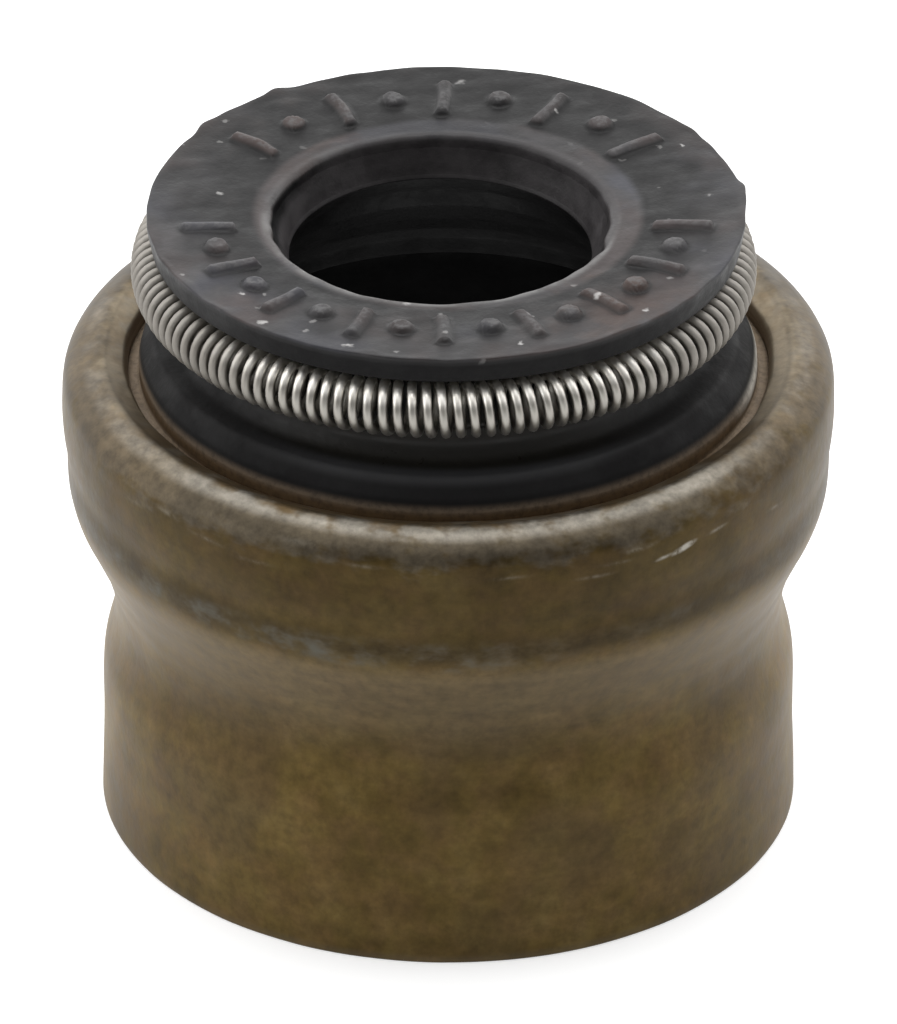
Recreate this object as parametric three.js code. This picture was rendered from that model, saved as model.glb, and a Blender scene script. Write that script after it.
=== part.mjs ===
// Valve stem seal for an engine's cylinder head: a pressed steel case, a moulded
// rubber seal body bonded inside it, and a garter spring round the sealing lip.
// Millimetres, +Z up along the valve stem. The origin is the centre of the
// bottom rim, on the plane that the seal stands on.

import * as THREE from "three";

// ---- driving dimensions -------------------------------------------------

const SEGMENTS = 48;            // facets round the axis, the same on case and body

const HEIGHT = 12.07;           // bottom rim of the case to top of the rubber disc
const CASE_BASE_R = 6.335;      // lower sleeve, outside
const CASE_WAIST_R = 6.082;     // pinched band that grips the guide, outside
const CASE_BEAD_R = 7.00;       // bead under the turned-in lip, outside (largest)
const CASE_CROWN_Z = 9.18;      // top of the steel case
const CASE_LIP_R = 5.81;        // inner edge of the turned-in lip
const WALL = 0.50;              // steel thickness

const DISC_R = 5.405;           // rubber disc on top
const MOUTH_R = 3.08;           // hole in the disc, at its top face
const LIP_R = 2.73;             // free radius of the sealing lip (for a 6 mm stem)
const LIP_Z = 11.16;            // height of the sealing edge
const COLLAR_R = 5.60;          // rubber collar that stands up through the steel lip
const NECK_R = 4.72;            // neck between collar and spring

const SOCKET_R = 5.36;          // rubber-lined socket for the valve guide
const RIB_R = 5.25;             // crests of the sealing ribs in the socket
const SOCKET_TOP_Z = 8.58;      // face that stops the guide
const LINING_Z = 0.36;          // lower end of the rubber, above the steel rim

const SPRING_RING_R = 5.13;     // centre circle of the garter spring
const SPRING_Z = 10.92;         // its height
const SPRING_COIL_R = 0.51;     // outside radius of the coil
const WIRE_R = 0.10;            // round spring wire
const TURNS = 128;              // turns of wire in the closed ring
const GROOVE_GAP = 0.02;        // gap between coil and rubber groove

// ---- helpers ------------------------------------------------------------

// A solid of revolution about +Z. The section runs anticlockwise in (r, z), up
// its outer side and down its inner side, and closes on itself.
function ring(section) {
  const points = section.map(([r, z]) => new THREE.Vector2(r, z));
  points.push(points[0].clone());
  const geometry = new THREE.LatheGeometry(points, SEGMENTS);
  geometry.rotateX(Math.PI / 2);
  return geometry;
}

// ---- metal case: one drawn steel sleeve ---------------------------------

const caseOuter = [
  [CASE_BASE_R - 0.06, 0],
  [CASE_BASE_R, 0.06],
  [6.292, 1.60],
  [6.306, 2.73],
  [6.326, 3.00],
  [6.219, 3.276],
  [6.113, 3.549],
  [CASE_WAIST_R, 3.90],
  [6.112, 4.368],
  [6.235, 4.914],
  [6.445, 5.460],
  [6.781, 6.188],
  [6.890, 6.600],
  [6.921, 7.200],
  [CASE_BEAD_R, 8.000],
  [6.998, 8.400],
  [6.950, 8.740],
  [6.860, 8.890],
  [6.720, 9.010],
  [6.500, 9.125],
  [6.300, CASE_CROWN_Z],
];

const caseLip = [
  [5.870, 8.915],
  [CASE_LIP_R, 8.860],
  [CASE_LIP_R, 8.490],
];

// Inner face, from under the lip down to the rim. The rubber is bonded to it,
// so the seal body's outer face runs along the same points.
const bondFace = [
  [6.280, 8.560],
  [6.440, 8.480],
  [6.498, 8.300],
  [6.498, 8.020],
  [6.421, 7.230],
  [6.392, 6.690],
  [6.310, 6.370],
  [5.985, 5.660],
  [5.765, 5.080],
  [5.622, 4.450],
  [5.582, 3.900],
  [5.628, 3.640],
  [5.735, 3.380],
  [5.820, 3.120],
  [5.810, 2.730],
  [5.795, 1.600],
  [5.835, LINING_Z],
];

const caseSection = [
  ...caseOuter,
  ...caseLip,
  ...bondFace,
  [CASE_BASE_R - WALL, 0],
];

// ---- seal body: one moulded rubber piece --------------------------------

// Lower mouth and socket for the valve guide, going up the inside.
const ribs = [];
for (const z of [1.75, 2.95, 4.15, 5.35, 6.55]) {
  ribs.push([SOCKET_R, z - 0.24], [RIB_R, z], [SOCKET_R, z + 0.24]);
}

// Groove that holds the garter spring: an arc round the coil, open outwards.
const groove = [];
const grooveR = SPRING_COIL_R + GROOVE_GAP;
for (const deg of [248, 222, 196, 170, 144, 118, 96]) {
  const a = THREE.MathUtils.degToRad(deg);
  groove.push([
    SPRING_RING_R + grooveR * Math.cos(a),
    SPRING_Z + grooveR * Math.sin(a),
  ]);
}

const bodySection = [
  // outer side, going up: the face bonded to the steel, then the collar
  ...[...bondFace].reverse(),
  [CASE_LIP_R, 8.490],
  [COLLAR_R + 0.02, 8.490],
  [COLLAR_R, 8.560],
  [COLLAR_R - 0.01, 9.040],
  [5.530, 9.190],
  [5.420, 9.420],
  [5.250, 9.560],
  [4.980, 9.630],
  [4.800, 9.740],
  [NECK_R, 9.920],
  [NECK_R, 10.220],
  ...groove,
  // disc
  [5.270, 11.530],
  [5.330, 11.590],
  [DISC_R, 11.980],
  [DISC_R - 0.055, HEIGHT],
  // hole: mouth, funnel and sealing lip, then the chamber under it
  [MOUTH_R + 0.200, HEIGHT],
  [MOUTH_R + 0.055, HEIGHT - 0.06],
  [MOUTH_R - 0.020, HEIGHT - 0.22],
  [LIP_R + 0.025, LIP_Z + 0.06],
  [LIP_R, LIP_Z],
  [LIP_R + 0.030, LIP_Z - 0.06],
  [3.020, 10.760],
  [3.260, 10.300],
  [3.720, 9.760],
  [4.200, 9.280],
  [4.420, 8.960],
  [4.500, SOCKET_TOP_Z],
  // stop face and lined socket, going down
  [SOCKET_R - 0.10, SOCKET_TOP_Z],
  [SOCKET_R, SOCKET_TOP_Z - 0.12],
  ...[...ribs].reverse(),
  [SOCKET_R, 0.98],
  [5.640, LINING_Z],
];

// ---- garter spring: one wire wound into a coil that closes on itself ------

// The round wire is drawn with a square section of the same area, so that its
// weight is right and neighbouring turns stay clear of each other.
const STEPS = 8;                // sections to a turn
const coilMean = SPRING_COIL_R - WIRE_R;
const halfSide = WIRE_R * Math.sqrt(Math.PI) / 2;

function garterCoil() {
  const total = TURNS * STEPS;
  const vertices = [];
  const triangles = [];
  for (let i = 0; i < total; i++) {
    const turn = (2 * Math.PI * (i % STEPS)) / STEPS;   // round the coil
    const around = (-2 * Math.PI * i) / total;          // round the ring
    const out = new THREE.Vector3(Math.cos(around), Math.sin(around), 0);
    const up = new THREE.Vector3(0, 0, 1);
    const forward = new THREE.Vector3(Math.sin(around), -Math.cos(around), 0);
    const across = out.clone().multiplyScalar(Math.cos(turn))
      .addScaledVector(up, Math.sin(turn));
    const lead = (SPRING_RING_R + coilMean * Math.cos(turn)) / TURNS;
    const along = out.clone().multiplyScalar(-Math.sin(turn))
      .addScaledVector(up, Math.cos(turn))
      .multiplyScalar(coilMean).addScaledVector(forward, lead).normalize();
    const side = new THREE.Vector3().crossVectors(along, across).normalize();
    const centre = out.clone().multiplyScalar(SPRING_RING_R)
      .addScaledVector(across, coilMean);
    for (const [a, b] of [[1, 1], [-1, 1], [-1, -1], [1, -1]]) {
      const v = centre.clone()
        .addScaledVector(across, a * halfSide)
        .addScaledVector(side, b * halfSide);
      vertices.push(v.x, v.y, v.z);
    }
    const next = (i + 1) % total;
    for (let k = 0; k < 4; k++) {
      const m = (k + 1) % 4;
      const p = i * 4 + k, q = i * 4 + m, r = next * 4 + m, t = next * 4 + k;
      triangles.push(p, q, r, p, r, t);
    }
  }
  const geometry = new THREE.BufferGeometry();
  geometry.setAttribute("position", new THREE.Float32BufferAttribute(vertices, 3));
  geometry.setIndex(triangles);
  geometry.computeVertexNormals();
  return geometry;
}

// ---- assembly -----------------------------------------------------------

const steel = new THREE.MeshStandardMaterial({
  color: "#6e5a3a", roughness: 0.42, metalness: 0.75 });
const rubber = new THREE.MeshStandardMaterial({
  color: "#2c2a2b", roughness: 0.48, metalness: 0.0 });
const wire = new THREE.MeshStandardMaterial({
  color: "#c3beb6", roughness: 0.25, metalness: 1.0 });

const metalCase = new THREE.Mesh(ring(caseSection), steel);
metalCase.name = "metal_case";

const sealBody = new THREE.Mesh(ring(bodySection), rubber);
sealBody.name = "seal_body";

const garterSpring = new THREE.Mesh(garterCoil(), wire);
garterSpring.name = "garter_spring";
garterSpring.position.z = SPRING_Z;

const seal = new THREE.Group();
seal.add(metalCase, sealBody, garterSpring);

export default seal;
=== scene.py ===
import bpy
import math
import numpy as np
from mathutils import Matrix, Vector


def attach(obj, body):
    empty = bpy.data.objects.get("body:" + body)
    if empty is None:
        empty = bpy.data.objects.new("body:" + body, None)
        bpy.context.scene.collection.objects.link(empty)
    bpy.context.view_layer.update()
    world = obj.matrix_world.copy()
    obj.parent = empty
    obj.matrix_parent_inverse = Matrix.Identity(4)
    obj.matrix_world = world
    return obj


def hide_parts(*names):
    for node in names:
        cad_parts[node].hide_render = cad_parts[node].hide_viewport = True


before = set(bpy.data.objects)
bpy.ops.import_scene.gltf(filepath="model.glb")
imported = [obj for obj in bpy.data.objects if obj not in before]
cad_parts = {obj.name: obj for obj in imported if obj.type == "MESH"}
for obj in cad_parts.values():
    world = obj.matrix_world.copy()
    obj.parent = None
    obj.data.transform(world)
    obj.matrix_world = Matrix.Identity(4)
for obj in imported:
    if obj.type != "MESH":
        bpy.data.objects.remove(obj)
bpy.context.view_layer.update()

MM = 0.001
scene = bpy.context.scene


# ------------------------------------------------------------------ mesh tools

def smooth01(x, a, b):
    t = np.clip((np.asarray(x, float) - a) / (b - a), 0.0, 1.0)
    return t * t * (3.0 - 2.0 * t)


def wave(theta, seed, kmin, kmax, amp, fall=0.5):
    """Smooth unevenness round the axis, the same at the seam."""
    rng = np.random.RandomState(seed)
    out = np.zeros_like(np.asarray(theta, float))
    norm = 0.0
    for k in range(kmin, kmax + 1):
        a = rng.uniform(0.4, 1.0) / (k ** fall)
        out = out + a * np.cos(k * theta + rng.uniform(0, 2 * math.pi))
        norm += a * a
    return amp * out / math.sqrt(norm * 0.5)


def rumple(x, y, seed, wl_min, wl_max, amp, n=28):
    """Smooth unevenness over a flat face, from plane waves."""
    rng = np.random.RandomState(seed)
    out = np.zeros_like(np.asarray(x, float))
    for _ in range(n):
        wl = wl_min * (wl_max / wl_min) ** rng.uniform()
        a = rng.uniform(0, 2 * math.pi)
        k = 2 * math.pi / wl
        out = out + math.sqrt(wl / wl_max) * np.cos(
            k * (x * math.cos(a) + y * math.sin(a)) + rng.uniform(0, 2 * math.pi))
    return amp * out / math.sqrt(n * 0.25)


def fillet(points, step_deg=10.0):
    """Closed polygon of (r, z, corner radius) -> dense list of (r, z)."""
    n = len(points)
    out = []
    for i in range(n):
        p0 = np.array(points[i - 1][:2], float)
        p1 = np.array(points[i][:2], float)
        p2 = np.array(points[(i + 1) % n][:2], float)
        rad = points[i][2] if len(points[i]) > 2 else 0.0
        a, b = p0 - p1, p2 - p1
        la, lb = np.linalg.norm(a), np.linalg.norm(b)
        a, b = a / la, b / lb
        inner = math.acos(max(-1.0, min(1.0, float(a @ b))))
        turn = math.pi - inner
        if rad <= 0 or turn < 0.02:
            out.append(tuple(p1))
            continue
        t = min(rad * math.tan(turn / 2), 0.46 * la, 0.46 * lb)
        rr = t / math.tan(turn / 2)
        centre = p1 + (a + b) / np.linalg.norm(a + b) * (rr / math.sin(inner / 2))
        s, e = p1 + a * t - centre, p1 + b * t - centre
        a0, a1 = math.atan2(s[1], s[0]), math.atan2(e[1], e[0])
        d = (a1 - a0 + math.pi) % (2 * math.pi) - math.pi
        steps = max(2, int(math.ceil(abs(math.degrees(d)) / step_deg)))
        for k in range(steps + 1):
            q = a0 + d * k / steps
            out.append((centre[0] + rr * math.cos(q), centre[1] + rr * math.sin(q)))
    return out


def refine(poly, step, closed=True):
    """Splits the long sides; step is a number or a function of (r, z)."""
    out = []
    n = len(poly)
    for i in range(n if closed else n - 1):
        p, q = np.array(poly[i]), np.array(poly[(i + 1) % n])
        s = step(*((p + q) / 2)) if callable(step) else step
        k = max(1, int(math.ceil(np.linalg.norm(q - p) / s)))
        for j in range(k):
            out.append(tuple(p + (q - p) * j / k))
    if not closed:
        out.append(tuple(poly[-1]))
    return out


def spline(points, per=6):
    """Open centripetal curve through (a, b) points."""
    p = [np.array(q, float) for q in points]
    p = [2 * p[0] - p[1]] + p + [2 * p[-1] - p[-2]]
    out = []
    for i in range(1, len(p) - 2):
        t0 = 0.0
        t1 = t0 + np.linalg.norm(p[i] - p[i - 1]) ** 0.5
        t2 = t1 + np.linalg.norm(p[i + 1] - p[i]) ** 0.5
        t3 = t2 + np.linalg.norm(p[i + 2] - p[i + 1]) ** 0.5
        for k in range(per):
            t = t1 + (t2 - t1) * k / per
            a1 = (t1 - t) / (t1 - t0) * p[i - 1] + (t - t0) / (t1 - t0) * p[i]
            a2 = (t2 - t) / (t2 - t1) * p[i] + (t - t1) / (t2 - t1) * p[i + 1]
            a3 = (t3 - t) / (t3 - t2) * p[i + 1] + (t - t2) / (t3 - t2) * p[i + 2]
            b1 = (t2 - t) / (t2 - t0) * a1 + (t - t0) / (t2 - t0) * a2
            b2 = (t3 - t) / (t3 - t1) * a2 + (t - t1) / (t3 - t1) * a3
            out.append(tuple((t2 - t) / (t2 - t1) * b1 + (t - t1) / (t2 - t1) * b2))
    out.append(tuple(p[-2]))
    return out


def make_object(name, verts, faces, material):
    mesh = bpy.data.meshes.new(name)
    mesh.from_pydata([tuple(v) for v in (np.asarray(verts) * MM)], [], faces)
    mesh.validate()
    mesh.update()
    for p in mesh.polygons:
        p.use_smooth = True
    obj = bpy.data.objects.new(name, mesh)
    scene.collection.objects.link(obj)
    mesh.materials.append(material)
    return obj


def lathe_faces(n, m, base=0, closed=True):
    """Quads of an n (round) by m (along) grid, numbered i * m + j."""
    faces = []
    for i in range(n):
        i2 = (i + 1) % n
        for j in range(m if closed else m - 1):
            j2 = (j + 1) % m
            faces.append((base + i * m + j, base + i2 * m + j,
                          base + i2 * m + j2, base + i * m + j2))
    return faces


def angles(n):
    return -math.pi / 2 + 2 * math.pi * np.arange(n) / n


# ------------------------------------------------------------------ node tools

def N(nt, kind, ins=None, **props):
    node = nt.nodes.new(kind)
    for k, v in props.items():
        setattr(node, k, v)
    for k, v in (ins or {}).items():
        s = node.inputs[k]
        if isinstance(v, bpy.types.NodeSocket):
            nt.links.new(v, s)
        else:
            s.default_value = v
    return node


def M(nt, op, a, b=None, c=None, clamp=False):
    ins = {0: a}
    if b is not None:
        ins[1] = b
    if c is not None:
        ins[2] = c
    return N(nt, "ShaderNodeMath", ins, operation=op, use_clamp=clamp).outputs[0]


def MAP(nt, v, a, b, c=0.0, d=1.0, kind="SMOOTHSTEP"):
    return N(nt, "ShaderNodeMapRange",
             {"Value": v, "From Min": a, "From Max": b, "To Min": c, "To Max": d},
             interpolation_type=kind).outputs[0]


def NOISE(nt, vec, scale, detail=4.0, rough=0.55, dist=0.0):
    return N(nt, "ShaderNodeTexNoise",
             {"Vector": vec, "Scale": scale, "Detail": detail,
              "Roughness": rough, "Distortion": dist}).outputs["Fac"]


def RAMP(nt, fac, stops):
    node = N(nt, "ShaderNodeValToRGB", {0: fac})
    r = node.color_ramp
    r.elements[0].position, r.elements[0].color = stops[0][0], (*stops[0][1], 1)
    r.elements[1].position, r.elements[1].color = stops[-1][0], (*stops[-1][1], 1)
    for pos, col in stops[1:-1]:
        e = r.elements.new(pos)
        e.color = (*col, 1)
    return node.outputs[0]


def MIX(nt, fac, a, b, blend="MIX"):
    node = nt.nodes.new("ShaderNodeMix")
    node.data_type = "RGBA"
    node.blend_type = blend
    for idx, v in ((0, fac), (6, a), (7, b)):
        s = node.inputs[idx]
        if isinstance(v, bpy.types.NodeSocket):
            nt.links.new(v, s)
        elif idx == 0:
            s.default_value = v
        else:
            s.default_value = (*v, 1)
    return node.outputs[2]


def SCALE(nt, vec, sx, sy, sz):
    return N(nt, "ShaderNodeVectorMath", {0: vec, 1: (sx, sy, sz)},
             operation="MULTIPLY").outputs[0]


def start(name):
    mat = bpy.data.materials.new(name)
    mat.use_nodes = True
    nt = mat.node_tree
    nt.nodes.clear()
    out = nt.nodes.new("ShaderNodeOutputMaterial")
    bsdf = nt.nodes.new("ShaderNodeBsdfPrincipled")
    nt.links.new(bsdf.outputs[0], out.inputs[0])
    tc = nt.nodes.new("ShaderNodeTexCoord")
    mm = SCALE(nt, tc.outputs["Object"], 1000, 1000, 1000)
    sep = N(nt, "ShaderNodeSeparateXYZ", {0: mm})
    return mat, nt, bsdf, mm, sep.outputs[0], sep.outputs[1], sep.outputs[2]


def bump(nt, bsdf, height, strength, distance_mm, normal=None):
    ins = {"Height": height, "Strength": strength, "Distance": distance_mm * MM}
    if normal is not None:
        ins["Normal"] = normal
    node = N(nt, "ShaderNodeBump", ins)
    nt.links.new(node.outputs[0], bsdf.inputs["Normal"])
    return node.outputs[0]


# ------------------------------------------------------------------ materials

def steel_material():
    mat, nt, bsdf, mm, X, Y, Z = start("case_steel")
    R = M(nt, "SQRT", M(nt, "ADD", M(nt, "MULTIPLY", X, X), M(nt, "MULTIPLY", Y, Y)))
    # angle from the front, positive to the right, in millimetres along the wall
    arc = M(nt, "MULTIPLY", M(nt, "ARCTAN2", X, M(nt, "MULTIPLY", Y, -1.0)), 6.8)
    away = M(nt, "ABSOLUTE", arc)                # 0 at the front, 10.7 at the sides
    wall = N(nt, "ShaderNodeCombineXYZ", {0: arc, 1: Z}).outputs[0]
    round_ = SCALE(nt, mm, 0.20, 0.20, 2.6)      # drawn out round the case
    mottle = NOISE(nt, mm, 0.95, 4, 0.62)
    blot = NOISE(nt, mm, 0.34, 2, 0.5)
    speck = NOISE(nt, mm, 4.2, 3, 0.65)
    lines = NOISE(nt, round_, 1.0, 3, 0.62)
    wear_noise = NOISE(nt, SCALE(nt, mm, 1.0, 1.0, 1.9), 1.5, 3, 0.62)
    tint = NOISE(nt, mm, 1.3, 3, 0.6)

    base = RAMP(nt, mottle, [
        (0.30, (0.051, 0.032, 0.0082)),
        (0.46, (0.070, 0.045, 0.0122)),
        (0.58, (0.083, 0.055, 0.0164)),
        (0.78, (0.105, 0.072, 0.0260))])
    # colour wanders between olive and reddish brown
    base = MIX(nt, MAP(nt, tint, 0.42, 0.64, 0.0, 0.26), base, (0.100, 0.060, 0.0260))
    base = MIX(nt, MAP(nt, tint, 0.56, 0.38, 0.0, 0.12), base, (0.074, 0.060, 0.0150))
    # large darker clouds, most of all low on the sleeve
    dark = M(nt, "MULTIPLY", MAP(nt, blot, 0.50, 0.66), MAP(nt, Z, 7.4, 4.6, 0.25, 0.55))
    base = MIX(nt, dark, base, (0.046, 0.031, 0.0130))
    # the taper under the collar is paler and greyer
    taper = M(nt, "MULTIPLY", MAP(nt, M(nt, "ADD", Z, mottle), 4.30, 6.15), MAP(nt, Z, 6.65, 6.20))
    base = MIX(nt, M(nt, "MULTIPLY", taper, 0.62), base, (0.128, 0.096, 0.0540))
    # painted shade: darker in the crease where the taper meets the collar, broken up by noise
    crease = M(nt, "MULTIPLY", MAP(nt, Z, 6.42, 6.80), MAP(nt, Z, 7.30, 6.86))
    base = MIX(nt, M(nt, "MULTIPLY", crease, MAP(nt, wear_noise, 0.32, 0.62, 0.85, 0.50)),
               base, (0.036, 0.025, 0.0100))
    shade = M(nt, "ADD", 0.80, M(nt, "MULTIPLY", lines, 0.40))
    # painted shade: from z 6.55 up to the collar above z 7.15 the steel is painted darker, as its wall faces the dark
    # front
    shade = M(nt, "MULTIPLY", shade, MAP(nt, Z, 6.55, 7.15, 0.95, 0.66))
    grit = MAP(nt, speck, 0.30, 0.66, 0.76, 1.16, "LINEAR")
    shade = M(nt, "MULTIPLY", shade, grit)
    # painted light: the left front, where the left light falls, is a little paler, and the steel is paler towards the
    # right and most of all at the sides, where the edges catch the bright surroundings; a little darker above z 4.3
    shade = M(nt, "MULTIPLY", shade, MAP(nt, arc, 0.5, -6.0, 1.0, 1.26))
    shade = M(nt, "MULTIPLY", shade, MAP(nt, arc, 2.5, 7.5, 1.0, 1.15))
    shade = M(nt, "MULTIPLY", shade, MAP(nt, away, 7.0, 10.0, 1.0, 1.30))
    shade = M(nt, "MULTIPLY", shade, MAP(nt, Z, 3.2, 4.3, 1.0, 0.90))
    grey = N(nt, "ShaderNodeCombineColor", {0: shade, 1: shade, 2: shade}).outputs[0]
    base = MIX(nt, 1.0, base, grey, "MULTIPLY")

    # bead and crown: the coat is worn thin and grey steel shows, in ragged patches
    high = MAP(nt, Z, 8.30, 9.02)
    ragged = M(nt, "ADD", high, M(nt, "MULTIPLY", M(nt, "SUBTRACT", wear_noise, 0.5), 2.4))
    ragged = M(nt, "ADD", ragged, MAP(nt, arc, -0.5, -4.5, 0.0, 0.22))
    worn = M(nt, "MULTIPLY", MAP(nt, ragged, 0.30, 1.05), MAP(nt, Z, 8.00, 8.55))
    fray = M(nt, "ADD", R, MAP(nt, wear_noise, 0.30, 0.70, -0.16, 0.16, "LINEAR"))
    slope = M(nt, "MULTIPLY", MAP(nt, fray, 6.46, 6.16), MAP(nt, Z, 8.4, 8.6))
    worn = M(nt, "MULTIPLY", worn, M(nt, "SUBTRACT", 1.0, M(nt, "MULTIPLY", slope, 0.60)))
    # painted highlight: the worn steel is painted much paler on top of the crown above z 9.01 and dark below it,
    # shaping the highlight from the light overhead
    bare_steel_and_highlight = MIX(nt, MAP(nt, Z, 9.01, 9.13), (0.064, 0.056, 0.0430), (0.240, 0.227, 0.2000))
    tan = MAP(nt, away, 4.5, 8.0, 0.22, 0.80)
    tan = M(nt, "MULTIPLY", tan, MAP(nt, tint, 0.36, 0.66, 1.25, 0.75))
    bare_steel_and_highlight = MIX(nt, tan, bare_steel_and_highlight, (0.104, 0.079, 0.0500))
    grit_and_painted_shade = M(nt, "MULTIPLY", MAP(nt, speck, 0.30, 0.66, 0.66, 1.26, "LINEAR"), MAP(nt, mottle, 0.32, 0.66, 0.78, 1.16, "LINEAR"))
    grit_and_painted_shade = M(nt, "MULTIPLY", grit_and_painted_shade, MAP(nt, away, 11.0, 14.5, 1.0, 0.60))
    # painted shade: darker down the outside of the bead at the sides, and along the corner of the lip, damping their
    # highlights
    flank = M(nt, "MULTIPLY", MAP(nt, R, 6.80, 6.94), MAP(nt, away, 5.5, 8.5))
    grit_and_painted_shade = M(nt, "MULTIPLY", grit_and_painted_shade, M(nt, "SUBTRACT", 1.0, M(nt, "MULTIPLY", flank, 0.32)))
    corner = M(nt, "MULTIPLY", MAP(nt, R, 6.10, 6.22), MAP(nt, R, 6.44, 6.30))
    corner = M(nt, "MULTIPLY", corner, MAP(nt, away, 4.0, 6.5))
    corner = M(nt, "SUBTRACT", 1.0, M(nt, "MULTIPLY", corner, 0.26))
    grit_and_painted_shade = M(nt, "MULTIPLY", grit_and_painted_shade, corner)
    grit_and_painted_shade = N(nt, "ShaderNodeCombineColor", {0: grit_and_painted_shade, 1: grit_and_painted_shade, 2: grit_and_painted_shade}).outputs[0]
    bare_steel_and_highlight = MIX(nt, 1.0, bare_steel_and_highlight, grit_and_painted_shade, "MULTIPLY")
    base = MIX(nt, M(nt, "MULTIPLY", worn, 0.80), base, bare_steel_and_highlight)
    # inner slope of the lip keeps its brown coat; painted shade makes it darker at the front, where it lies in the
    # fold's shade, and along the lip's corner
    coat = MIX(nt, MAP(nt, away, 6.6, 8.8), (0.100, 0.066, 0.0310), (0.255, 0.210, 0.1460))
    coat = MIX(nt, MAP(nt, mottle, 0.36, 0.60, 0.60, 0.0), coat, (0.140, 0.098, 0.0520))
    coat = MIX(nt, MAP(nt, tint, 0.50, 0.66, 0.0, 0.45), coat, (0.215, 0.198, 0.1650))
    coat_corner_shade = M(nt, "MULTIPLY", corner, MAP(nt, speck, 0.30, 0.66, 0.80, 1.16, "LINEAR"))
    coat_corner_shade = N(nt, "ShaderNodeCombineColor", {0: coat_corner_shade, 1: coat_corner_shade, 2: coat_corner_shade}).outputs[0]
    coat = MIX(nt, 1.0, coat, coat_corner_shade, "MULTIPLY")
    base = MIX(nt, M(nt, "MULTIPLY", slope, 0.85), base, coat)
    # bluish-grey rubbed patches where the taper meets the collar
    edge = M(nt, "MULTIPLY", MAP(nt, Z, 6.35, 6.65), MAP(nt, Z, 7.20, 6.90))
    edge = M(nt, "MULTIPLY", edge, M(nt, "MULTIPLY", MAP(nt, wear_noise, 0.36, 0.74), MAP(nt, tint, 0.30, 0.55)))
    side = MAP(nt, arc, 2.5, -1.0, 0.30, 1.0)    # more of it at the front left
    base = MIX(nt, M(nt, "MULTIPLY", M(nt, "MULTIPLY", edge, side), 0.72), base, (0.076, 0.077, 0.0680))
    foot = MAP(nt, Z, 0.22, 0.02)
    base = MIX(nt, M(nt, "MULTIPLY", foot, 0.30), base, (0.110, 0.092, 0.0700))
    throat = M(nt, "MULTIPLY", MAP(nt, R, 5.90, 5.84), MAP(nt, Z, 8.0, 8.4))
    base = MIX(nt, M(nt, "MULTIPLY", throat, 0.9), base, (0.150, 0.112, 0.0720))
    inside = M(nt, "MULTIPLY", MAP(nt, R, 5.92, 5.84), MAP(nt, Z, 1.0, 0.5))
    base = MIX(nt, M(nt, "MULTIPLY", inside, 0.5), base, (0.07, 0.058, 0.044))

    # scratches: angle from the front in degrees, height, half length, half width, tilt, strength
    marks = [(37.0, 8.30, 0.36, 0.090, 12, 1.0), (33.4, 8.25, 0.30, 0.060, 6, 0.50),
             (29.5, 8.58, 0.50, 0.090, 3, 0.26), (25.0, 8.42, 0.50, 0.070, -3, 0.22),
             (43.5, 8.38, 0.34, 0.065, 5, 0.34), (22.0, 8.24, 0.55, 0.070, -2, 0.20),
             (-54.0, 8.40, 0.45, 0.080, 2, 0.24), (-46.0, 8.58, 0.60, 0.100, -3, 0.22),
             (-38.0, 8.42, 0.55, 0.080, -4, 0.20), (-30.0, 8.30, 0.60, 0.080, 2, 0.18),
             (-23.0, 8.86, 0.70, 0.100, 1, 0.18), (-12.5, 8.64, 0.55, 0.080, 0, 0.18),
             (9.0, 8.46, 0.55, 0.070, 1, 0.18), (57.0, 8.10, 0.40, 0.070, -6, 0.24),
             (118.0, 8.40, 1.00, 0.060, 3, 0.4), (160.0, 8.20, 0.80, 0.060, -6, 0.4),
             (-120.0, 7.90, 1.10, 0.060, 5, 0.4), (-150.0, 6.90, 0.90, 0.070, 2, 0.4),
             (75.0, 1.70, 0.80, 0.040, 8, 0.2)]
    scuff = None
    for deg, z0, hl, hw, tilt, k in marks:
        m = nt.nodes.new("ShaderNodeMapping")
        m.vector_type = "TEXTURE"
        m.inputs["Location"].default_value = (math.radians(deg) * 6.8, z0, 0.0)
        m.inputs["Rotation"].default_value = (0.0, 0.0, math.radians(tilt))
        m.inputs["Scale"].default_value = (hl, hw, 1.0)
        nt.links.new(wall, m.inputs["Vector"])
        d = N(nt, "ShaderNodeVectorMath", {0: m.outputs[0]}, operation="LENGTH").outputs["Value"]
        d = M(nt, "MULTIPLY_ADD", d, -k, k)
        scuff = d if scuff is None else M(nt, "MAXIMUM", scuff, d)
    scuff = M(nt, "MULTIPLY", MAP(nt, scuff, 0.0, 0.70), MAP(nt, R, 5.95, 6.0))
    scuff = M(nt, "MULTIPLY", scuff, MAP(nt, speck, 0.36, 0.60, 0.15, 0.85))
    base = MIX(nt, scuff, base, (0.30, 0.285, 0.250))

    nt.links.new(base, bsdf.inputs["Base Color"])
    rough = M(nt, "ADD", 0.40, M(nt, "MULTIPLY", speck, 0.20))
    nt.links.new(rough, bsdf.inputs["Roughness"])
    bsdf.inputs["Metallic"].default_value = 0.92
    bsdf.inputs["Specular IOR Level"].default_value = 0.45
    # a film of oil
    bsdf.inputs["Coat Weight"].default_value = 0.05
    bsdf.inputs["Coat Roughness"].default_value = 0.32
    grain = NOISE(nt, mm, 6.5, 2, 0.6)
    bump(nt, bsdf, grain, 0.35, 0.012)
    return mat


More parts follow.
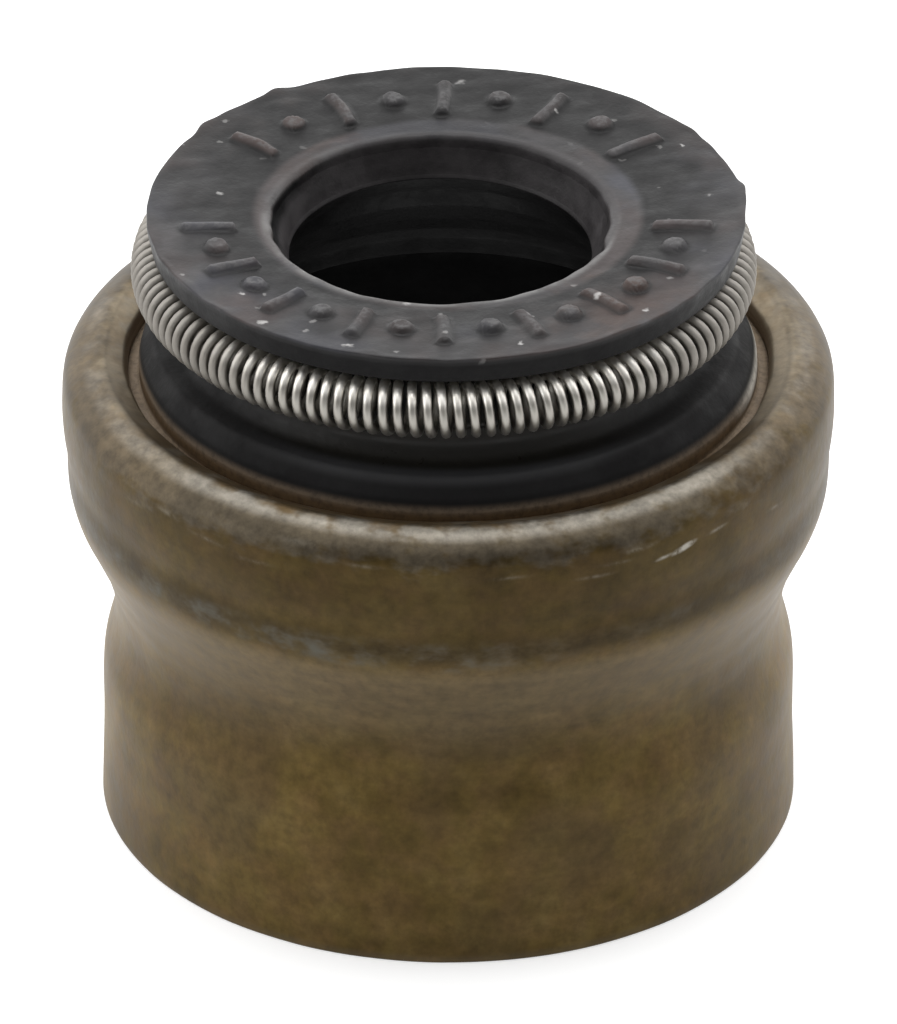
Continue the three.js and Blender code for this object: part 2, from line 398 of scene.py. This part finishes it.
def rubber_material():
    mat, nt, bsdf, mm, X, Y, Z = start("seal_rubber")
    R = M(nt, "SQRT", M(nt, "ADD", M(nt, "MULTIPLY", X, X), M(nt, "MULTIPLY", Y, Y)))
    mottle = NOISE(nt, mm, 1.5, 4, 0.62)
    patch = NOISE(nt, mm, 0.50, 2, 0.5)
    grain = NOISE(nt, mm, 8.0, 3, 0.65)
    base = RAMP(nt, mottle, [
        (0.30, (0.0022, 0.0021, 0.0022)),
        (0.55, (0.0036, 0.0034, 0.0036)),
        (0.78, (0.0064, 0.0060, 0.0064))])
    # moulded face and the round mouth of the hole: paler, a painted sheen standing in for the glossy face's
    # reflection of the bright back, with warm and cool patches
    face = M(nt, "MULTIPLY", MAP(nt, Z, 11.98, 12.06), MAP(nt, R, 3.0, 3.1))
    mouth = M(nt, "MULTIPLY", MAP(nt, Z, 11.82, 11.90), MAP(nt, R, 3.6, 3.4))
    face = M(nt, "MAXIMUM", face, mouth)
    face_tone_and_sheen = RAMP(nt, mottle, [
        (0.32, (0.0170, 0.0160, 0.0166)),
        (0.50, (0.0270, 0.0256, 0.0264)),
        (0.70, (0.0430, 0.0405, 0.0420))])
    face_tone_and_sheen = MIX(nt, MAP(nt, patch, 0.47, 0.60, 0.0, 0.42), face_tone_and_sheen, (0.0360, 0.0235, 0.0210))
    face_tone_and_sheen = MIX(nt, MAP(nt, patch, 0.46, 0.34, 0.0, 0.45), face_tone_and_sheen, (0.0230, 0.0240, 0.0320))
    across = M(nt, "ABSOLUTE", X)
    # painted sheen: darker at the middle of the face and paler towards the sides
    tone = M(nt, "MULTIPLY", MAP(nt, across, 2.4, 0.5, 1.0, 0.80), MAP(nt, across, 2.0, 4.2, 1.0, 1.42))
    tone = N(nt, "ShaderNodeCombineColor", {0: tone, 1: tone, 2: tone}).outputs[0]
    face_tone_and_sheen = MIX(nt, 1.0, face_tone_and_sheen, tone, "MULTIPLY")
    # warm and cool patches: place, half width, colour
    for px, py, w, col in ((2.9, -3.3, 1.5, (0.0520, 0.0310, 0.0240)), (-2.8, 3.1, 1.5, (0.0460, 0.0290, 0.0240)),
                           (3.9, 1.3, 1.5, (0.0350, 0.0360, 0.0450)), (-3.3, -2.6, 1.2, (0.0250, 0.0255, 0.0330))):
        d = N(nt, "ShaderNodeVectorMath", {0: mm, 1: (px, py, 12.05)}, operation="DISTANCE").outputs["Value"]
        d = M(nt, "ADD", d, M(nt, "MULTIPLY", M(nt, "SUBTRACT", mottle, 0.5), 3.0))
        face_tone_and_sheen = MIX(nt, MAP(nt, d, w, 0.2 * w, 0.0, 0.62), face_tone_and_sheen, col)
    base = MIX(nt, face, base, face_tone_and_sheen)
    # painted shade round the foot of each moulded mark, and a painted highlight on their tops
    mark_foot_shade_fac = N(nt, "ShaderNodeAttribute", attribute_name="mark_foot_shade").outputs["Fac"]
    base = MIX(nt, M(nt, "MULTIPLY", mark_foot_shade_fac, 0.78, clamp=True), base, (0.0040, 0.0038, 0.0040))
    crest_highlight = N(nt, "ShaderNodeAttribute", attribute_name="mark_top_highlight").outputs["Fac"]
    crest_highlight = M(nt, "MULTIPLY", crest_highlight, MAP(nt, grain, 0.44, 0.60))
    base = MIX(nt, M(nt, "MULTIPLY", crest_highlight, 0.55), base, (0.085, 0.083, 0.084))
    # worn edge of the hole, painted paler as a highlight along its rim, strongest at the front
    hole_wear_and_highlight = N(nt, "ShaderNodeAttribute", attribute_name="hole_edge").outputs["Fac"]
    hole_wear_and_highlight = M(nt, "MULTIPLY", hole_wear_and_highlight, MAP(nt, mottle, 0.36, 0.60, 0.30, 1.0))
    base = MIX(nt, M(nt, "MULTIPLY", hole_wear_and_highlight, 0.80), base, (0.135, 0.132, 0.130))
    funnel = M(nt, "MULTIPLY", MAP(nt, Z, 11.06, 11.24), MAP(nt, R, 3.12, 3.02))
    base = MIX(nt, M(nt, "MULTIPLY", funnel, MAP(nt, mottle, 0.30, 0.70, 0.55, 1.0)),
               base, (0.0340, 0.0310, 0.0320))
    # painted light on the shelf under the spring, where shade falls, with a painted highlight on the ridge and darker
    # at the sides; the groove behind the coils is painted paler, most of all at the sides
    shelf = M(nt, "MULTIPLY", MAP(nt, Z, 9.38, 9.55), MAP(nt, R, 4.40, 4.70))
    shelf = M(nt, "MULTIPLY", shelf, MAP(nt, Z, 11.56, 11.46))
    shelf_painted_light = MIX(nt, MAP(nt, R, 5.00, 5.18), (0.0090, 0.0082, 0.0070), (0.0230, 0.0232, 0.0243))
    shelf_painted_light = MIX(nt, MAP(nt, across, 1.8, 4.2), shelf_painted_light, (0.0042, 0.0038, 0.0038))
    shelf_painted_light = MIX(nt, MAP(nt, Z, 10.34, 10.48), shelf_painted_light, MIX(nt, MAP(nt, across, 2.2, 4.6), (0.050, 0.047, 0.042), (0.170, 0.160, 0.144)))
    base = MIX(nt, shelf, base, shelf_painted_light)
    # painted reflection of the brown steel lip in the glossy collar, where the collar meets the steel
    sill = M(nt, "MULTIPLY", MAP(nt, Z, 9.19, 9.00), MAP(nt, R, 5.2, 5.4))
    sill = M(nt, "MULTIPLY", sill, MAP(nt, Z, 8.60, 8.66))
    tone = MIX(nt, MAP(nt, Z, 8.90, 9.08), (0.0820, 0.0500, 0.0240), (0.1150, 0.0860, 0.0600))
    # painted highlight pale at the right, painted shade dark at the bottom of the gap, and lighter brown low in the
    # gap at the sides
    right = M(nt, "MULTIPLY", MAP(nt, X, 4.4, 5.1), MAP(nt, Y, -2.4, -0.9))
    tone = MIX(nt, M(nt, "MULTIPLY", right, MAP(nt, Z, 8.80, 8.95)), tone, (0.420, 0.395, 0.350))
    tone = MIX(nt, M(nt, "MULTIPLY", MAP(nt, across, 4.2, 5.4), MAP(nt, Z, 8.84, 8.76)), tone, (0.210, 0.160, 0.1120))
    base = MIX(nt, M(nt, "MULTIPLY", sill, MAP(nt, grain, 0.30, 0.60, 0.65, 1.0)), base, tone)
    # dust: pale specks over the top face, and painted glints picked out by place: angle, radius, half width
    shift = N(nt, "ShaderNodeTexNoise", {"Vector": mm, "Scale": 7.0, "Detail": 2.0}).outputs["Color"]
    shift = N(nt, "ShaderNodeVectorMath", {0: shift, 1: (0.22, 0.22, 0.0), 2: (-0.11, -0.11, 0.0)},
              operation="MULTIPLY_ADD").outputs[0]
    top = N(nt, "ShaderNodeCombineXYZ", {0: X, 1: Y}).outputs[0]
    top = N(nt, "ShaderNodeVectorMath", {0: top, 1: shift}, operation="ADD").outputs[0]
    vor = N(nt, "ShaderNodeTexVoronoi", {"Vector": top, "Scale": 1.25, "Randomness": 1.0},
            voronoi_dimensions="2D")
    pick = N(nt, "ShaderNodeSeparateColor", {0: vor.outputs["Color"]}).outputs[0]
    dust_and_glints = M(nt, "MULTIPLY", MAP(nt, vor.outputs["Distance"], 0.085, 0.03), MAP(nt, pick, 0.70, 0.76))
    glint_spots = None
    for deg, r, w in ((87.5, 4.85, 0.10), (-129.6, 5.22, 0.085), (-110.2, 5.17, 0.100), (-49.7, 4.13, 0.085),
                      (-45.4, 5.05, 0.070), (170.0, 4.19, 0.075), (-103.0, 3.34, 0.065), (-141.0, 4.75, 0.060),
                      (30.0, 4.90, 0.055), (62.0, 4.20, 0.050), (137.0, 3.60, 0.060), (-75.0, 4.95, 0.050)):
        p = (r * math.cos(math.radians(deg)), r * math.sin(math.radians(deg)), 0.0)
        d = N(nt, "ShaderNodeVectorMath", {0: top, 1: p}, operation="DISTANCE").outputs["Value"]
        d = M(nt, "MULTIPLY", d, 1.0 / w)
        glint_spots = d if glint_spots is None else M(nt, "MINIMUM", glint_spots, d)
    dust_and_glints = M(nt, "MAXIMUM", M(nt, "MULTIPLY", dust_and_glints, 0.40), MAP(nt, glint_spots, 1.15, 0.10))
    dust_and_glints = M(nt, "MULTIPLY", dust_and_glints, MAP(nt, Z, 11.93, 12.02))
    base = MIX(nt, M(nt, "MULTIPLY", dust_and_glints, 0.62), base, (0.46, 0.45, 0.44))
    nt.links.new(base, bsdf.inputs["Base Color"])
    rough = M(nt, "ADD", 0.30, M(nt, "MULTIPLY", grain, 0.16))
    rough = M(nt, "ADD", rough, MAP(nt, mottle, 0.35, 0.65, 0.0, 0.14), clamp=True)
    # the collar and neck are moulded glossier than the face
    gloss = M(nt, "MULTIPLY", MAP(nt, Z, 10.3, 9.8), MAP(nt, R, 4.4, 4.7))
    rough = M(nt, "SUBTRACT", rough, M(nt, "MULTIPLY", gloss, MAP(nt, across, 1.8, 4.0, 0.10, -0.17)), clamp=True)
    edge = M(nt, "MULTIPLY", MAP(nt, Z, 11.98, 11.90), MAP(nt, R, 5.22, 5.30))
    edge = M(nt, "MULTIPLY", edge, MAP(nt, across, 4.4, 2.6, 0.25, 1.0))
    rough = M(nt, "ADD", rough, M(nt, "MULTIPLY", edge, 0.28), clamp=True)
    nt.links.new(rough, bsdf.inputs["Roughness"])
    bsdf.inputs["Specular IOR Level"].default_value = 0.16
    height = M(nt, "ADD", M(nt, "MULTIPLY", grain, 0.60), M(nt, "MULTIPLY", mottle, 0.5))
    bump(nt, bsdf, height, 0.50, 0.024)
    return mat


def wire_material():
    mat, nt, bsdf, mm, X, Y, Z = start("spring_steel")
    b = NOISE(nt, mm, 5.0, 2, 0.6)
    base = RAMP(nt, b, [
        (0.30, (0.66, 0.63, 0.575)),
        (0.55, (0.80, 0.775, 0.725)),
        (0.80, (0.88, 0.86, 0.82))])
    # painted shade: the coils' lower flank, below z 11.12, is painted darker
    coil_lower_shade = MAP(nt, Z, 11.27, 11.12)
    base = MIX(nt, M(nt, "MULTIPLY", coil_lower_shade, 0.88), base, (0.255, 0.243, 0.218))
    # duller towards the sides, where the oil has not been wiped off
    side = MAP(nt, M(nt, "ABSOLUTE", X), 2.6, 4.6)
    base = MIX(nt, M(nt, "MULTIPLY", side, 0.85), base, (0.215, 0.200, 0.180))
    nt.links.new(base, bsdf.inputs["Base Color"])
    rough = M(nt, "ADD", 0.30, M(nt, "MULTIPLY", b, 0.24))
    rough = M(nt, "ADD", rough, M(nt, "MULTIPLY", side, 0.16))
    nt.links.new(rough, bsdf.inputs["Roughness"])
    bsdf.inputs["Metallic"].default_value = 1.0
    return mat


case_mat = steel_material()
rubber_mat = rubber_material()
wire_mat = wire_material()


# ------------------------------------------------------------------ metal case

WALL = 0.50
outer_z = [0.10, 0.546, 1.456, 2.20, 2.60, 2.88, 3.12, 3.34, 3.60, 3.85, 4.095, 4.368,
           4.641, 4.914, 5.187, 5.46, 5.824, 6.188, 6.552, 6.916, 7.28, 7.644, 8.008,
           8.281, 8.554, 8.736, 8.890, 9.010, 9.080]
outer_r = [6.334, 6.325, 6.300, 6.300, 6.300, 6.285, 6.250, 6.196, 6.130, 6.090, 6.084, 6.112,
           6.152, 6.235, 6.321, 6.445, 6.612, 6.781, 6.883, 6.916, 6.924, 6.971, 7.000,
           7.000, 6.991, 6.954, 6.860, 6.720, 6.600]
outer = refine(spline(list(zip(outer_r, outer_z)), 5), 0.075, closed=False)
lip = fillet([(6.600, 9.080, 0), (6.480, 9.134, 0.6), (6.280, 9.190, 0.45), (5.870, 9.000, 0.14),
              (5.812, 8.865, 0.05), (5.812, 8.500, 0.03), (5.90, 8.470, 0)], 8)[1:-1]
lip = refine(lip, 0.06, closed=False)
inner = [(6.280, 8.560), (6.440, 8.480), (6.498, 8.300), (6.498, 8.020), (6.421, 7.230),
         (6.392, 6.690), (6.310, 6.370), (5.985, 5.660), (5.765, 5.080), (5.622, 4.450),
         (5.582, 3.900), (5.628, 3.640), (5.735, 3.380), (5.820, 3.120), (5.810, 2.730),
         (5.795, 1.600), (5.835, 0.360), (5.835, 0.20)]
rim = fillet([(5.835, 0.20, 0), (5.835, 0.0, 0.04), (6.334, 0.0, 0.045), (6.334, 0.10, 0)], 15)[1:-1]
rim = refine(rim, 0.08, closed=False)
case_poly = outer + lip + inner + rim

n = 320
th = angles(n)
P = np.array(case_poly)
R, TH = np.meshgrid(P[:, 0], th)
Zc, _ = np.meshgrid(P[:, 1], th)
out_mask = smooth01(R, 5.86, 5.95)
# drawn steel: slightly out of round, a lip that was rolled in by hand-wide steps
R = R + out_mask * wave(TH, 3, 2, 6, 0.006) * smooth01(Zc, 0.0, 8.0)
R = R - (1 - out_mask) * smooth01(Zc, 8.4, 8.6) * wave(TH, 5, 3, 24, 0.010, 0.3)
Zc = Zc + smooth01(Zc, 8.7, 9.0) * wave(TH, 7, 2, 9, 0.008)
R = R + out_mask * rumple(TH * 6.8, Zc, 11, 0.7, 3.2, 0.0022)
Zc = Zc + (1 - smooth01(Zc, 0.0, 0.10)) * smooth01(R, 6.2, 6.3) * 0.0
V = np.stack([R * np.cos(TH), R * np.sin(TH), Zc], axis=-1).reshape(-1, 3)
metal_case = make_object("case_shell", V, lathe_faces(n, len(case_poly)), case_mat)


# ------------------------------------------------------------------ seal body

def lean(r, z):
    """Sideways run-out of the moulding above the steel, in millimetres."""
    up = smooth01(z, 8.9, 9.8)
    rubber = -0.085 * up + 0.040 * smooth01(z, 11.45, 11.62)
    hole = -0.145 * smooth01(z, 9.2, 11.0)
    k = smooth01(r, 4.3, 3.3)
    return rubber * (1 - k) + hole * k


def tick(r, t, deg, r0, half_len, half_wid):
    """Distance outside a plain bar that points at the axis."""
    d = (t - math.radians(deg) + math.pi) % (2 * math.pi) - math.pi
    u, v = np.abs(d * r), np.abs(r - r0)
    return np.hypot(np.maximum(u - half_wid + 0.05, 0), np.maximum(v - half_len + 0.05, 0)) - 0.05


def pip(r, t, deg, r0, rad):
    """Distance outside a round pip."""
    d = (t - math.radians(deg) + math.pi) % (2 * math.pi) - math.pi
    return np.hypot(2 * r * np.sin(np.clip(d, -1.2, 1.2) / 2), r - r0) - rad


def relief(r, t):
    """Generic moulded scale on the disc: plain ticks with pips between them. Gives its height, the painted shade line
    round each mark, and each mark's top, painted as a highlight."""
    rng = np.random.RandomState(5)
    h, e, c = np.zeros_like(r), np.zeros_like(r), np.zeros_like(r)
    for lo, hi, count, r0 in ((-173, -7, 17, 4.30), (36, 144, 9, 4.25)):
        for k, deg in enumerate(np.linspace(lo, hi, count)):
            tall = 0.115 * rng.uniform(0.85, 1.15)
            deg = deg + rng.uniform(-0.5, 0.5)
            if k % 2 == 0:
                sd = tick(r, t, deg, r0 + rng.uniform(-0.03, 0.03), 0.52, 0.115)
            else:
                sd = pip(r, t, deg, r0 + rng.uniform(-0.05, 0.05), 0.215)
            h = np.maximum(h, tall * smooth01(-sd, -0.045, 0.055))
            e = np.maximum(e, np.exp(-((sd - 0.050) / 0.050) ** 2))
            c = np.maximum(c, smooth01(-sd, 0.015, 0.060))
    return h, e, c


TOP = 12.07
g = []
for deg in np.linspace(243, 100, 19):
    a = math.radians(deg)
    g.append((5.13 + 0.545 * math.cos(a), 10.885 + 0.545 * math.sin(a), 0.0))
ribs = []
for z in (6.55, 5.35, 4.15, 2.95, 1.75):
    ribs += [(5.360, z + 0.26, 0.12), (5.250, z, 0.10), (5.360, z - 0.26, 0.12)]
# the whole section: up the outside, over the disc, down through the hole and the
# socket, and back up the face that is bonded to the steel
body_section = [
    (6.280, 8.560, 0), (5.830, 8.495, 0), (5.816, 8.700, 0), (5.640, 8.705, 0.03), (5.603, 8.750, 0.03),
    (5.600, 9.020, 0.10), (5.520, 9.250, 0.22), (5.265, 9.565, 0.20), (4.900, 9.670, 0.30),
    (4.720, 9.900, 0.30), (4.730, 10.270, 0.10)] + g + [
    (5.270, 11.545, 0.03), (5.335, 11.585, 0.035), (5.402, 12.000, 0.0),
    (5.400, TOP, 0.055), (3.075, TOP, 0.12), (3.020, 11.820, 0.03),
    (2.770, 11.230, 0.05), (2.730, 11.160, 0.03), (2.762, 11.090, 0.04),
    (2.900, 10.900, 0.20), (3.020, 10.760, 0.30), (3.260, 10.300, 0.30),
    (3.720, 9.760, 0.30), (4.200, 9.280, 0.40), (4.420, 8.960, 0.20),
    (4.500, 8.580, 0.05), (5.260, 8.580, 0.0), (5.360, 8.460, 0.0)] + ribs + [
    (5.360, 0.98, 0.15), (5.620, 0.400, 0.06), (5.700, 0.360, 0.0), (5.835, 0.360, 0.0)] + [
    (r, z, 0) for r, z in inner[::-1][2:-1]]


def body_step(r, z):
    if z > 12.065 and 3.2 < r < 5.38:
        return 0.038
    if z > 11.55 and r > 5.2:
        return 0.06
    if z > 8.45 and r < 5.7:
        return 0.15
    return 2.0 if r > 5.5 else 0.6


points = refine(fillet(body_section, 12), body_step)
# one fine zone (the disc), and one coarser zone that runs on from it on both sides
i0 = min(i for i, p in enumerate(points) if p[0] > 5.3 and p[1] > 11.62)
i1 = min(i for i, p in enumerate(points) if i > i0 and p[0] < 3.2 and p[1] < 11.79)
fine_pts = points[i0:i1 + 1]
coarse_pts = points[i1 + 1:] + points[:i0]

NF, NC = 480, 240
masks = {}


def body_grid(points, n, top):
    p = np.array(points)
    t = angles(n)
    r, T = np.meshgrid(p[:, 0], t)
    z, _ = np.meshgrid(p[:, 1], t)
    r0, z0 = r.copy(), z.copy()
    # the disc's rim: trimmed by hand, with a little flash left at the back left
    rim_zone = smooth01(r0, 5.20, 5.36) * smooth01(z0, 11.60, 11.95)
    flash = np.zeros_like(r)
    for deg, wid, amp in ((143.5, 3.2, 0.085), (138.0, 4.5, 0.050), (124.5, 2.4, 0.105),
                          (129.0, 5.0, 0.045), (10.0, 2.2, 0.080), (6.0, 3.5, 0.035),
                          (34.0, 2.4, 0.030), (98.0, 3.0, 0.020), (-152.0, 3.0, 0.015)):
        d = (np.degrees(T) - deg + 180) % 360 - 180
        flash = flash + amp * np.exp(-(d / wid) ** 2)
    r = r + rim_zone * (flash + wave(T, 21, 5, 60, 0.006, 0.3))
    z = z + rim_zone * smooth01(z0, 12.0, 12.05) * (0.20 * flash + wave(T, 22, 6, 40, 0.006, 0.3))
    # the hole's edge: slightly ragged, with a burr at the right
    hole_zone = smooth01(r0, 3.30, 3.12) * smooth01(z0, 11.6, 11.95)
    d = (np.degrees(T) + 19.0 + 180) % 360 - 180
    burr = 0.070 * np.exp(-(d / 4.0) ** 2) - 0.055 * np.exp(-((d - 8.0) / 5.0) ** 2)
    r = r + hole_zone * (burr + wave(T, 23, 4, 36, 0.009, 0.3))
    # face: moulded marks, slight sink and rumple
    face = smooth01(z0, 12.04, 12.069) * smooth01(r0, 3.24, 3.42) * smooth01(r0, 5.36, 5.26)
    if top:
        h, e, c = relief(r0, T)
        masks["mark_foot_shade"], masks["mark_top_highlight"] = face * e, face * c
        z = z + face * (h + rumple(r0 * np.cos(T), r0 * np.sin(T), 31, 0.35, 1.9, 0.0065) - 0.004)
    # collar and neck: soft unevenness
    mid = smooth01(z0, 8.7, 9.0) * smooth01(z0, 11.6, 11.3) * smooth01(r0, 4.4, 4.6)
    r = r + mid * wave(T, 25, 3, 16, 0.006, 0.4)
    if top:
        masks["hole_edge"] = (smooth01(r0, 3.30, 3.16) * smooth01(z0, 11.92, 12.03)
                              * (0.30 + 0.70 * smooth01(np.sin(T), 0.35, -0.15)))
    x = r * np.cos(T) + lean(r0, z0)
    y = r * np.sin(T)
    # the face sinks a little round the hole, and the mouth runs out to the front
    z = z - 0.070 * smooth01(z0, 11.4, 12.0) * np.clip((5.30 - r0) / 2.15, 0.0, 1.0)
    y = y - 0.130 * smooth01(z0, 11.2, 12.0) * smooth01(r0, 4.3, 3.2)
    z = z - 0.0068 * smooth01(z0, 11.4, 11.6) * (y + 5.4)
    return np.stack([x, y, z], axis=-1)


GF = body_grid(fine_pts, NF, True)
GC = body_grid(coarse_pts, NC, False)
mf, mc = len(fine_pts), len(coarse_pts)
V = np.concatenate([GF.reshape(-1, 3), GC.reshape(-1, 3)])
off = NF * mf
faces = lathe_faces(NF, mf, 0, closed=False) + lathe_faces(NC, mc, off, closed=False)
for i in range(NC):
    f0, f1, f2 = (2 * i) % NF, (2 * i + 1) % NF, (2 * i + 2) % NF
    c0, c1 = i, (i + 1) % NC
    # end of the coarse zone (disc's side) to the start of the fine zone
    a0, a1 = off + c0 * mc + mc - 1, off + c1 * mc + mc - 1
    b0_, b1_, b2_ = f0 * mf, f1 * mf, f2 * mf
    faces += [(a0, b1_, b0_), (a0, a1, b1_), (a1, b2_, b1_)]
    # end of the fine zone (hole) to the start of the coarse zone
    a0, a1 = off + c0 * mc, off + c1 * mc
    e0, e1, e2 = f0 * mf + mf - 1, f1 * mf + mf - 1, f2 * mf + mf - 1
    faces += [(e0, e1, a0), (e1, a1, a0), (e1, e2, a1)]
seal_body = make_object("seal_rubber_body", V, faces, rubber_mat)
for mask_name, values in masks.items():
    full = np.zeros(len(V), dtype=np.float32)
    full[:off] = values.reshape(-1)
    seal_body.data.attributes.new(mask_name, "FLOAT", "POINT").data.foreach_set("value", full)


# ------------------------------------------------------------------ garter spring

TURNS, STEPS, SIDES = 128, 26, 10
RING_R, COIL_R, WIRE_R, SPRING_Z = 5.13, 0.440, 0.089, 10.895
total = TURNS * STEPS
q = np.arange(total) / total
theta = -2 * math.pi * q
phi = 2 * math.pi * TURNS * q
theta = theta + wave(2 * math.pi * q, 41, 3, 30, 0.0016, 0.2)
coil = COIL_R + wave(2 * math.pi * q, 43, 4, 60, 0.0025, 0.2) * 0.5 - 0.002


def spring_point(th_, ph_, c):
    rr = RING_R + c * np.cos(ph_)
    return np.stack([rr * np.cos(th_), rr * np.sin(th_), SPRING_Z + c * np.sin(ph_)], axis=-1)


C = spring_point(theta, phi, coil)
T = np.roll(C, -1, axis=0) - np.roll(C, 1, axis=0)
T /= np.linalg.norm(T, axis=1)[:, None]
E1 = np.stack([np.cos(phi) * np.cos(theta), np.cos(phi) * np.sin(theta), np.sin(phi)], axis=-1)
E1 -= (E1 * T).sum(axis=1)[:, None] * T
E1 /= np.linalg.norm(E1, axis=1)[:, None]
E2 = np.cross(T, E1)
sec = 2 * math.pi * np.arange(SIDES) / SIDES
W = (C[:, None, :] + WIRE_R * (np.cos(sec)[None, :, None] * E1[:, None, :]
                               + np.sin(sec)[None, :, None] * E2[:, None, :]))
W[:, :, 0] += lean(np.full(W.shape[:2], 5.13), W[:, :, 2])
faces = []
for i in range(total):
    i2 = (i + 1) % total
    for j in range(SIDES):
        j2 = (j + 1) % SIDES
        faces.append((i * SIDES + j, i2 * SIDES + j, i2 * SIDES + j2, i * SIDES + j2))
spring = make_object("spring_coil", W.reshape(-1, 3), faces, wire_mat)

# faces outward on every piece
for o in (metal_case, seal_body, spring):
    me = o.data
    vol = 0.0
    co = np.empty(len(me.vertices) * 3)
    me.vertices.foreach_get("co", co)
    co = co.reshape(-1, 3)
    me.calc_loop_triangles()
    tri = np.empty(len(me.loop_triangles) * 3, dtype=np.int32)
    me.loop_triangles.foreach_get("vertices", tri)
    tri = tri.reshape(-1, 3)
    vol = np.einsum("ij,ij->i", co[tri[:, 0]], np.cross(co[tri[:, 1]], co[tri[:, 2]])).sum() / 6
    print(o.name, "triangles", len(tri), "volume mm3", round(vol * 1e9, 2))
    if vol < 0:
        me.flip_normals()

for o, node, slot in ((metal_case, "metal_case", "case_steel"),
                      (seal_body, "seal_body", "seal_rubber"),
                      (spring, "garter_spring", "spring_steel")):
    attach(o, "root")
    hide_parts(node)


# ------------------------------------------------------------------ camera

ELEV = math.radians(30.66)
DIST = 0.33670
target = Vector((0.0, 0.0, 0.005726))
cam_data = bpy.data.cameras.new("camera")
cam = bpy.data.objects.new("camera", cam_data)
scene.collection.objects.link(cam)
cam.location = target + Vector((0.0, -math.cos(ELEV), math.sin(ELEV))) * DIST
cam.rotation_euler = (math.pi / 2 - ELEV, 0.0, 0.0)
cam_data.sensor_fit = "VERTICAL"
cam_data.sensor_height = 36.0
cam_data.lens = 36.0 * DIST / (1024 * 0.0182 * MM)
cam_data.clip_start = 0.01
cam_data.clip_end = 20.0
cam_data.dof.use_dof = False
scene.camera = cam


# ------------------------------------------------------------------ floor, light

floor_mesh = bpy.data.meshes.new("floor")
floor_mesh.from_pydata([(-1.5, -1.5, 0), (1.5, -1.5, 0), (1.5, 1.5, 0), (-1.5, 1.5, 0)], [], [(0, 1, 2, 3)])
floor = bpy.data.objects.new("floor", floor_mesh)
scene.collection.objects.link(floor)
floor_mat = bpy.data.materials.new("floor")
floor_mat.use_nodes = True
fb = floor_mat.node_tree.nodes["Principled BSDF"]
fb.inputs["Base Color"].default_value = (0.70, 0.70, 0.70, 1)
fb.inputs["Emission Color"].default_value = (1.0, 1.0, 1.0, 1)
fb.inputs["Emission Strength"].default_value = 0.42
fb.inputs["Roughness"].default_value = 0.9
fb.inputs["Specular IOR Level"].default_value = 0.1
floor_mesh.materials.append(floor_mat)

world = bpy.data.worlds.new("studio")
scene.world = world
world.use_nodes = True
wn = world.node_tree
bg = wn.nodes["Background"]
tc = wn.nodes.new("ShaderNodeTexCoord")
ws = N(wn, "ShaderNodeSeparateXYZ", {0: tc.outputs["Generated"]})
# a light tent: bright behind and overhead, darker towards its opening in front
back = MAP(wn, ws.outputs[1], -0.75, 0.35)
level = M(wn, "ADD", 0.42, M(wn, "MULTIPLY", back, 1.55))
wcol = N(wn, "ShaderNodeCombineColor", {0: level, 1: level, 2: level}).outputs[0]
wn.links.new(wcol, bg.inputs["Color"])
bg.inputs["Strength"].default_value = 1.0


def area(name, loc, aim, size_x, size_y, power):
    data = bpy.data.lights.new(name, "AREA")
    data.shape = "RECTANGLE"
    data.size, data.size_y = size_x, size_y
    data.energy = power
    o = bpy.data.objects.new(name, data)
    scene.collection.objects.link(o)
    o.location = loc
    o.rotation_euler = (Vector(aim) - Vector(loc)).to_track_quat("-Z", "Y").to_euler()
    return o


area("top_softbox", (0.0, 0.05, 0.30), (0, 0, 0.006), 0.24, 0.16, 0.45)
area("left_fill", (-0.34, -0.10, 0.14), (0, 0, 0.006), 0.24, 0.20, 0.30)

scene.view_settings.view_transform = "Standard"
scene.view_settings.look = "None"
scene.view_settings.exposure = 0.0
scene.view_settings.gamma = 1.0
